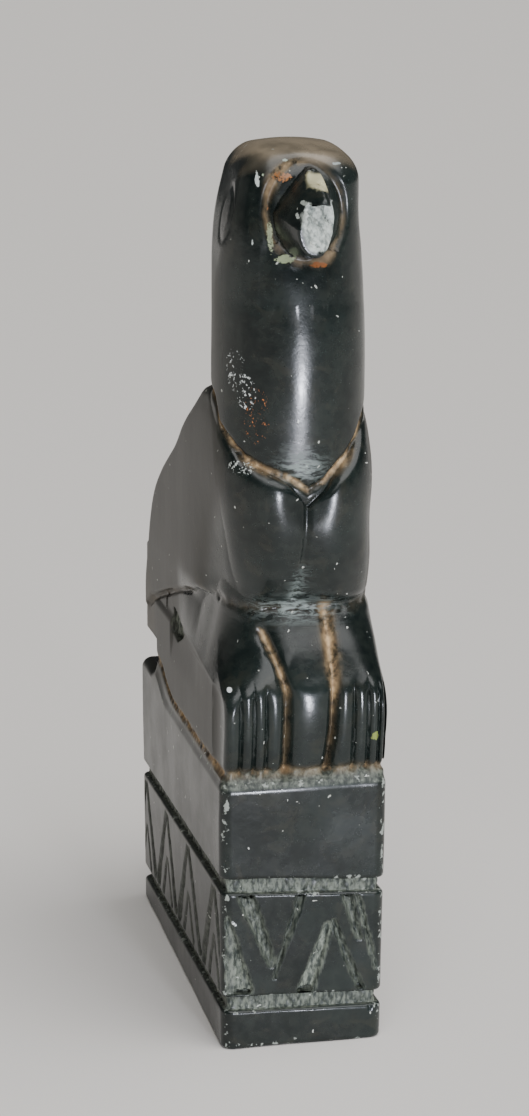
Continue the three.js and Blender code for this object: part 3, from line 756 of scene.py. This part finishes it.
def surface_marks(points):
    """How much of each finish shows at each vertex, 0 to 1."""
    x, y, z = points.T
    marks = {}
    on_plinth = ramp(62.0, 60.0, z)
    on_head = ramp(160.0, 166.0, z)
    front = ramp(-34.0, -40.0, y)

    # Raw stone: the floors of the zigzag, the grooves, the hollows and the ledge in front of the toes
    rim = frieze_cut(x, y, z)
    floor = ramp(0.15, -0.45, rim) * frieze_window(x, y, z) * ramp(42.0, 38.0, z) * stroke_paleness(x, y, z)
    side = plinth_side(x, y, z)
    sunk = ramp(-0.35, -1.0, side) * on_plinth * ramp(0.6, 1.5, z) * ramp(57.0, 52.0, z)
    hollow_area = ramp(0.7, -0.9, hollow_distance(y, z)) * ramp(12.0, 14.0, np.abs(x))
    ledge = ramp(-45.0, -46.0, y) * ramp(62.4, 61.4, z) * ramp(58.0, 58.8, z)
    marks["raw"] = np.maximum.reduce([floor, 0.75 * sunk * (1 - floor), hollow_area, 0.5 * ledge])

    # Dirt in the lines round the neck and the beak, on the legs, along the foot, at the waist and the wings
    collar = bump(z - collar_height(x, y) + 0.1, 0.62) * ramp(116.0, 120.0, z) * ramp(148.0, 144.0, z)
    legs_zone = front * ramp(97.5, 95.0, z) * ramp(60.0, 61.0, z)
    left_line = bump(x - line_at(LEFT_LEG_LINE, z), 0.62)
    left_line *= (0.22 + 0.78 * ramp(76.5, 80.0, z)) * ramp(91.5, 90.0, z)
    right_line = bump(x - line_at(RIGHT_LEG_LINE, z), 0.5 + 0.75 * ramp(76.0, 84.0, z))
    right_line *= 0.25 + 0.75 * ramp(72.0, 78.0, z)
    leg_lines = legs_zone * np.maximum(left_line, right_line)
    foot = bump(z - foot_line(y), 0.9) * ramp(58.0, 60.0, z) * (0.3 + 0.7 * ramp(-46.5, -44.5, y))
    waist = ramp(-13.0, -19.0, y) * bump(z - waist_line(y), 0.9)
    ring = ring_distance(x, z)
    turn = np.degrees(np.arctan2(z - BEAK_MIDDLE[1], x - BEAK_MIDDLE[0])) % 360.0
    around = np.interp(turn, RING_ANGLES, RING_DIRT)
    beak_ring = front * bump(ring - 0.6 * around, 0.35 + 0.95 * around) * on_head * around
    wing = bump(z - underside(y) + 0.5, 0.8) * ramp(-16.0, -8.0, y)
    wing *= ramp(44.0, 38.0, y) * ramp(14.0, 16.0, np.abs(x))
    marks["dirt"] = np.maximum.reduce([collar, leg_lines, 0.9 * foot, 0.05 * waist, beak_ring, 0.1 * wing])

    # Wear on the plinth's upright corners and on the lips of its bands
    corner = ramp(-1.6, -0.3, side) * ramp(0.0, 1.2, np.minimum(np.abs(x) - 15.9, np.abs(y) - 46.7))
    lip_levels = [
        (BASE_TOP, LOWER_LEAN), (FRIEZE_BOTTOM, LOWER_LEAN), (FRIEZE_TOP, UPPER_LEAN),
        (CORNICE_BOTTOM, UPPER_LEAN), (0.3, (0, 0)), (PLINTH_TOP - 1.0, (0, 0)),
    ]
    lips = np.zeros_like(z)
    for level, amounts in lip_levels:
        lips = np.maximum(lips, bump(z - level - lean(x, y, amounts), 1.0))
    marks["wear"] = np.maximum(corner, 0.75 * lips) * ramp(61.5, 60.0, z)

    # Scuffs where the breast meets the legs, above the collar's point and down the breast's valley
    middle = front * bump(z - waist_line(y), 2.4) * bump(x, 8.0)
    above_tip = bump(x + 0.5, 4.2) * bump(z - 126.5, 2.6) * ramp(-40.0, -44.0, y)
    valley = bump(x - breast_line(z), 1.6) * ramp(108.0, 98.0, z) * ramp(92.0, 95.0, z) * front
    marks["scuff"] = np.maximum.reduce([middle, above_tip, 0.8 * valley])

    # The broken faces of the beak
    split = np.abs(split_plane(x, y, z)) + 2.0 * ramp(181.2, 182.0, z) + 2.0 * ramp(172.0, 171.2, z)
    upper_chip = ramp(0.6, 0.4, np.abs(chip_plane(x, y, z))) * ramp(-0.6, 0.6, x)
    marks["fresh"] = ramp(-43.2, -44.2, y) * on_head * ramp(0.85, 0.6, split)
    marks["cream"] = ramp(-42.6, -43.6, y) * on_head * upper_chip

    # Brown handling marks on the crown and the tail's end
    marks["brown"] = np.maximum(
        ramp(187.0, 191.5, z + 1.2 * rough(x, y, z, 9.0, 91)),
        0.35 * ramp(33.0, 40.0, y) * ramp(66.0, 69.0, z) * ramp(92.0, 78.0, z),
    )

    # The flat sides are duller than the rounded stone and carry a painted reflection that lightens them to
    # brown-grey, apart from the sloping faces of the thighs
    thigh = ramp(1.0, -1.0, leg_ridge(y) - z) * ramp(4.0, -4.0, y) * ramp(98.0, 94.0, z)
    flat_side = ramp(14.8, 16.6, np.abs(x)) * ramp(-46.0, -40.0, y)
    marks["satin_and_side_sheen"] = flat_side * (0.35 + 0.65 * ramp(60.0, 64.0, z)) * (1.0 - thigh)
    return marks


# Materials

def srgb(code):
    """A hex colour as linear values."""
    parts = [int(code[i:i + 2], 16) / 255.0 for i in (1, 3, 5)]
    linear = [c / 12.92 if c <= 0.04045 else ((c + 0.055) / 1.055) ** 2.4 for c in parts]
    return (*linear, 1.0)


def add(tree, kind, settings=None, **links):
    """Adds a node with its properties and inputs; an input is a value or another node's output."""
    node = tree.nodes.new(kind)
    for key, value in (settings or {}).items():
        setattr(node, key, value)
    for key, value in links.items():
        place = int(key[1:]) if key[0] == "i" and key[1:].isdigit() else key.replace("_", " ")
        socket = node.inputs[place]
        if isinstance(value, bpy.types.NodeSocket):
            tree.links.new(value, socket)
        else:
            socket.default_value = value
    return node


def combine(tree, operation, a, b):
    """Two values added, multiplied or compared."""
    return add(tree, "ShaderNodeMath", {"operation": operation}, i0=a, i1=b).outputs[0]


def noise(tree, place, size, detail=3.0, roughness=0.55, distortion=0.0):
    """Noise with lumps of about the given size in mm; places are in metres."""
    node = add(tree, "ShaderNodeTexNoise", None, Vector=place, Scale=1000.0 / size, Detail=detail,
               Roughness=roughness, Distortion=distortion)
    return node.outputs[0]


def fade(tree, value, low, high, start=0.0, end=1.0):
    """Maps low..high to start..end, smoothly and clamped."""
    node = add(tree, "ShaderNodeMapRange", {"interpolation_type": "SMOOTHSTEP"}, Value=value,
               From_Min=low, From_Max=high, To_Min=start, To_Max=end)
    return node.outputs[0]


def mix(tree, amount, below, above):
    """Mixes two colours."""
    return add(tree, "ShaderNodeMix", {"data_type": "RGBA"}, i0=amount, i6=below, i7=above).outputs[2]


def mix_values(tree, amount, below, above):
    """Mixes two plain values."""
    return add(tree, "ShaderNodeMix", {"data_type": "FLOAT"}, i0=amount, i2=below, i3=above).outputs[0]


def stretched(tree, place, scale, turn=(0.0, 0.0, 0.0)):
    """Places for a pattern that is drawn out along one direction."""
    return add(tree, "ShaderNodeMapping", None, Vector=place, Scale=scale, Rotation=turn).outputs[0]


# Places with chips, scratches and specks, and two painted highlights on the forehead and the left toes' bend:
# middle and reach, colour, noise threshold and lump size, in mm.
# A threshold above 0.5 gives sparse dots in the whole place, and a lower one a patch that thins to its rim.
FLECKS_AND_PAINTED_HIGHLIGHTS = [
    ((-13.2, -39.0, 146.5), (2.6, 5.0, 6.0), "#c9cdc9", 0.60, 0.7692),
    ((-11.4, -41.0, 141.8), (2.4, 5.0, 4.5), "#c9cdc9", 0.58, 0.7692),
    ((-9.4, -42.5, 137.5), (3.6, 5.0, 8.0), "#b9713f", 0.64, 0.5263),
    ((-13.0, -42.5, 126.4), (3.8, 5.0, 1.9), "#bfc4bd", 0.56, 0.6667),
    ((-13.6, -37.5, 186.3), (1.4, 2.5, 1.0), "#c8cdc6", 0.40, 1.4286),
    ((-11.0, -38.5, 187.2), (1.4, 2.5, 1.1), "#c8cdc6", 0.42, 1.25),
    ((-9.1, -39.5, 185.2), (0.8, 2.8, 3.4), "#b9c0ba", 0.36, 1.1111),
    ((-10.3, -40.0, 172.6), (0.8, 2.8, 2.6), "#b9c0ba", 0.36, 1.4286),
    ((-8.2, -41.2, 186.4), (1.9, 2.0, 1.2), "#8c977f", 0.34, 1.6667),
    # Painted highlight: a pale patch on the forehead's front, where the light from above catches it
    ((-3.0, -40.2, 189.3), (2.4, 2.4, 1.5), "#8f9a8c", 0.32, 1.6667),
    ((7.5, -40.0, 188.4), (2.2, 2.0, 0.7), "#8b9390", 0.36, 1.6667),
    ((-15.4, -35.0, 178.0), (1.5, 2.2, 0.7), "#b08a5a", 0.30, 2.0),
    ((-15.6, -34.0, 174.5), (1.5, 3.4, 3.2), "#56605a", 0.46, 1.1111),
    # Painted highlight: a near-white patch on the bend of the left toes' front corner, where the light
    # catches the edge
    ((-15.9, -45.5, 80.0), (1.3, 2.5, 1.2), "#dfe4e2", 0.30, 2.5),
    ((15.4, -47.5, 68.5), (1.8, 2.5, 2.2), "#7f8a45", 0.36, 1.6667),
    ((-15.5, -48.8, 28.0), (2.4, 1.5, 3.0), "#d5dad8", 0.50, 1.1111),
    ((-17.0, -48.8, 3.4), (1.2, 1.5, 2.4), "#d5dad8", 0.46, 1.1111),
    ((-12.0, -45.0, 107.0), (1.4, 2.5, 1.2), "#8f9a98", 0.42, 1.4286),
    ((-1.9, -50.5, 181.4), (1.7, 3.5, 0.9), "#9aa198", 0.28, 1.4286),
    ((-3.1, -49.5, 178.6), (0.8, 3.5, 1.4), "#a9b0a8", 0.30, 1.4286),
    ((-4.2, -41.4, 186.0), (4.4, 3.0, 2.4), "#8a5c36", 0.35, 0.7692),
    ((-6.9, -42.4, 174.0), (1.4, 3.0, 7.5), "#8f9678", 0.38, 0.625),
    ((-7.2, -42.0, 180.0), (1.0, 3.0, 2.4), "#8a5c36", 0.42, 1.1111),
    ((-4.0, -43.4, 169.4), (4.2, 3.0, 1.7), "#8b9474", 0.38, 0.625),
    ((3.0, -43.4, 168.2), (3.6, 3.0, 1.2), "#7c4b28", 0.35, 0.7692),
]


def bare_tone(tree, place, mark):
    """The waxed stone's green-black with its clouds, grain and veins, browner where hands held it, and
    lightened on the flat sides by a painted reflection.
    Real grain is about 0.1 mm; it is drawn as lumps of 2 mm, coarse enough to show."""
    cloud = fade(tree, noise(tree, place, 18.18, 4.0, 0.6), 0.35, 0.7)
    grain = fade(tree, noise(tree, place, 2.381, 3.0, 0.6), 0.35, 0.7)
    vein = fade(tree, noise(tree, place, 8.333, 4.0, 0.65, 1.4), 0.52, 0.68)
    tone = mix(tree, cloud, srgb("#0a1110"), srgb("#1a2220"))
    tone = mix(tree, combine(tree, "MULTIPLY", grain, 0.35), tone, srgb("#2b302b"))
    tone = mix(tree, combine(tree, "MULTIPLY", vein, 0.3), tone, srgb("#35342b"))
    patchy = fade(tree, noise(tree, place, 6.25), 0.25, 0.6, 0.55, 1.0)
    tone = mix(tree, combine(tree, "MULTIPLY", mark("brown"), patchy), tone, srgb("#857966"))
    # Painted reflection: the flat sides are mixed towards a lighter brown-grey, standing in for the light
    # they catch
    return mix(tree, combine(tree, "MULTIPLY", mark("satin_and_side_sheen"), 0.55), tone, srgb("#37332b"))


def raw_stone(tree, place, mark):
    """How much raw stone shows and its tone: pale powder left by the chisel, drawn out along its cuts."""
    along_cuts = stretched(tree, place, (1.3, 1.3, 0.5), (0.3, 0.25, 0.0))
    patchy = noise(tree, along_cuts, 1.923, 5.0, 0.7)
    amount = combine(tree, "MULTIPLY", mark("raw"), fade(tree, patchy, 0.3, 0.52, 0.25, 1.0))
    powder = fade(tree, noise(tree, along_cuts, 1.111, 4.0, 0.7), 0.37, 0.63)
    return amount, mix(tree, powder, srgb("#343b36"), srgb("#858b7e"))


def packed_dirt(tree, place, mark):
    """How much dirt shows and its tone: pale brown polish and dust that has dried in the lines."""
    patchy = fade(tree, noise(tree, place, 4.167, 4.0, 0.7), 0.36, 0.56, 0.1, 1.0)
    amount = combine(tree, "MULTIPLY", mark("dirt"), patchy)
    crumbs = fade(tree, noise(tree, place, 2.0), 0.3, 0.7)
    return amount, mix(tree, crumbs, srgb("#8a7152"), srgb("#c8ab80"))


def worn_edges(tree, place, mark):
    """Small chips through the wax on the plinth's corners and lips."""
    edge = combine(tree, "MULTIPLY", mark("wear"), 0.17)
    specks = combine(tree, "ADD", noise(tree, place, 2.083, 3.0, 0.7), edge)
    return combine(tree, "MULTIPLY", fade(tree, specks, 0.70, 0.76), fade(tree, mark("wear"), 0.15, 0.5))


def scuffs(tree, place, mark):
    """Fine scratches that run across the bird, where the wax is rubbed dull."""
    across = stretched(tree, place, (0.35, 1.0, 1.5))
    scratches = fade(tree, noise(tree, across, 1.25, 3.0, 0.7, 0.6), 0.42, 0.6, 0.0, 0.9)
    return combine(tree, "MULTIPLY", mark("scuff"), scratches)


def with_flecks_and_painted_highlights(tree, place, colour):
    """The colour with each of the chips, scratches and specks, and the two painted highlights, laid over it.
    """
    for middle, reach, tone, low, size in FLECKS_AND_PAINTED_HIGHLIGHTS:
        offset = add(tree, "ShaderNodeVectorMath", {"operation": "SUBTRACT"}, i0=place,
                     i1=[c * 0.001 for c in middle])
        shape = add(tree, "ShaderNodeVectorMath", {"operation": "DIVIDE"}, i0=offset.outputs[0],
                    i1=[r * 0.001 for r in reach])
        away = add(tree, "ShaderNodeVectorMath", {"operation": "LENGTH"}, i0=shape.outputs[0])
        near = fade(tree, away.outputs["Value"], 1.0, 0.75 if low > 0.5 else 0.25)
        lumps = combine(tree, "MULTIPLY", noise(tree, place, size, 2.0, 0.6, 0.8), near)
        colour = mix(tree, fade(tree, lumps, low, low + 0.05), colour, srgb(tone))
    return colour


def soapstone_material():
    """Soapstone, carved and waxed by hand: near black and glossy, but pale and matt where it is raw."""
    material = bpy.data.materials.new("polished_soapstone")
    material.use_nodes = True
    tree = material.node_tree
    tree.nodes.clear()
    place = add(tree, "ShaderNodeTexCoord").outputs["Object"]

    def mark(name):
        return add(tree, "ShaderNodeAttribute", {"attribute_name": name}).outputs["Fac"]

    raw_amount, raw_tone = raw_stone(tree, place, mark)
    dirt_amount, dirt_tone = packed_dirt(tree, place, mark)
    worn = worn_edges(tree, place, mark)
    scuffed = scuffs(tree, place, mark)
    split_grain = fade(tree, noise(tree, place, 1.923, 4.0, 0.7), 0.36, 0.62)
    specks = fade(tree, noise(tree, place, 1.613, 2.0, 0.5, 0.4), 0.735, 0.75)

    colour = mix(tree, raw_amount, bare_tone(tree, place, mark), raw_tone)
    colour = mix(tree, dirt_amount, colour, dirt_tone)
    colour = mix(tree, mark("fresh"), colour, mix(tree, split_grain, srgb("#7b837e"), srgb("#c3c9c1")))
    colour = mix(tree, mark("cream"), colour, srgb("#b9b390"))
    colour = mix(tree, specks, colour, srgb("#b7b9b0"))
    colour = mix(tree, worn, colour, srgb("#8f948c"))
    colour = mix(tree, scuffed, colour, srgb("#8b9691"))
    colour = with_flecks_and_painted_highlights(tree, place, colour)

    matt = raw_amount
    for amount in (dirt_amount, worn, scuffed, mark("fresh"), mark("cream")):
        matt = combine(tree, "MAXIMUM", matt, amount)
    polish = fade(tree, noise(tree, place, 11.11, 5.0, 0.65), 0.3, 0.75, 0.19, 0.31)
    roughness = mix_values(tree, matt, mix_values(tree, mark("satin_and_side_sheen"), polish, 0.46), 0.78)

    tooling = add(tree, "ShaderNodeBump", None, Strength=0.10, Distance=0.0003,
                  Height=noise(tree, place, 1.111, 4.0, 0.65))
    shader = add(tree, "ShaderNodeBsdfPrincipled", None, Base_Color=colour, Roughness=roughness,
                 IOR=1.44, Normal=tooling.outputs[0])
    add(tree, "ShaderNodeOutputMaterial", None, Surface=shader.outputs[0])
    return material


def plain_material(name, code, roughness):
    """One colour and roughness all over."""
    material = bpy.data.materials.new(name)
    material.use_nodes = True
    shader = material.node_tree.nodes["Principled BSDF"]
    shader.inputs["Base Color"].default_value = srgb(code)
    shader.inputs["Roughness"].default_value = roughness
    return material


# The carving

def build_carving(scale):
    """The one piece; scale turns the field's millimetres into the frame's metres."""
    mesh, points, normals = carved_mesh("bird_carving_relief")
    mesh.vertices.foreach_set("co", (points * scale).astype(np.float32).ravel())
    for name, values in surface_marks(points).items():
        attribute = mesh.attributes.new(name, "FLOAT", "POINT")
        attribute.data.foreach_set("value", np.clip(values, 0.0, 1.0).astype(np.float32))
    mesh.polygons.foreach_set("use_smooth", np.ones(len(mesh.polygons), bool))
    mesh.update()
    mesh.normals_split_custom_set_from_vertices(normals.tolist())
    carving = bpy.data.objects.new("bird_carving_relief", mesh)
    bpy.context.scene.collection.objects.link(carving)
    mesh.materials.clear()
    mesh.materials.append(soapstone_material())
    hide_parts("bird_carving")
    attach(carving, "root")


# Studio

def build_floor():
    """A plain pale sheet, wide enough to fill every view."""
    half = 60.0
    corners = np.array([(-half, -half, 0), (half, -half, 0), (half, half, 0), (-half, half, 0)], float)
    mesh = new_mesh("studio_floor", corners, np.array([[0, 1, 2, 3]]))
    mesh.materials.append(plain_material("studio_floor_paper", "#e3dfda", 0.9))
    floor = bpy.data.objects.new("studio_floor", mesh)
    bpy.context.scene.collection.objects.link(floor)


def area_light(name, place, target, width, height, power, colour="#ffffff"):
    """A rectangular light that faces the target; sizes in metres, power in watts."""
    light = bpy.data.lights.new(name, "AREA")
    light.shape = "RECTANGLE"
    light.size = width
    light.size_y = height
    light.energy = power
    light.color = srgb(colour)[:3]
    holder = bpy.data.objects.new(name, light)
    holder.location = place
    direction = Vector(target) - Vector(place)
    holder.rotation_euler = direction.to_track_quat("-Z", "Y").to_euler()
    bpy.context.scene.collection.objects.link(holder)


def build_lights():
    """A small bright light low in front for the highlights, two soft fills and a broad light overhead."""
    world = bpy.data.worlds.new("studio_world")
    world.use_nodes = True
    background = world.node_tree.nodes["Background"]
    background.inputs[0].default_value = srgb("#c4c6c8")
    background.inputs[1].default_value = 0.12
    bpy.context.scene.world = world
    middle = (0.0, 0.0, 0.1)
    area_light("low_key", (0.065, -0.66, 0.060), middle, 0.052, 0.036, 3.8, "#eef2ff")
    area_light("front_fill", (-0.35, -0.9, 0.95), middle, 0.5, 0.4, 1.5)
    area_light("side_fill", (-1.0, 0.35, 0.30), middle, 0.9, 0.8, 0.6, "#f4efe6")
    sun = bpy.data.lights.new("soft_overhead", "SUN")
    sun.energy = 3.3
    sun.angle = 1.1
    holder = bpy.data.objects.new("soft_overhead", sun)
    holder.rotation_euler = Vector((-0.22, 0.35, -1.0)).to_track_quat("-Z", "Y").to_euler()
    bpy.context.scene.collection.objects.link(holder)


def build_camera():
    """The photo's own point of view."""
    camera = bpy.data.cameras.new("photo_camera")
    camera.lens = CAMERA_LENS
    camera.sensor_width = 36.0
    camera.clip_start = 0.05
    holder = bpy.data.objects.new("photo_camera", camera)
    right = Vector(CAMERA_RIGHT)
    back = -Vector(CAMERA_AIM)
    upward = back.cross(right)
    turn = Matrix((right, upward, back)).transposed().to_4x4()
    holder.matrix_world = Matrix.Translation(Vector(CAMERA_PLACE) * 0.001) @ turn
    bpy.context.scene.collection.objects.link(holder)
    bpy.context.scene.camera = holder


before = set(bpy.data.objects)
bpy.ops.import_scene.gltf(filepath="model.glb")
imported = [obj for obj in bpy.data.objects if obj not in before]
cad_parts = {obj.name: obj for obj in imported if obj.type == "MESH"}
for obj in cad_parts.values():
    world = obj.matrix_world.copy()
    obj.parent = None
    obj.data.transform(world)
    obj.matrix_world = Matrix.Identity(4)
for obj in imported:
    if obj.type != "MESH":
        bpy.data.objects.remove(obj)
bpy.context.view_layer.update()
lowest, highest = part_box("bird_carving")
carving_scale = (highest.z - lowest.z) / TOTAL_HEIGHT
build_carving(carving_scale)
build_floor()
build_lights()
build_camera()
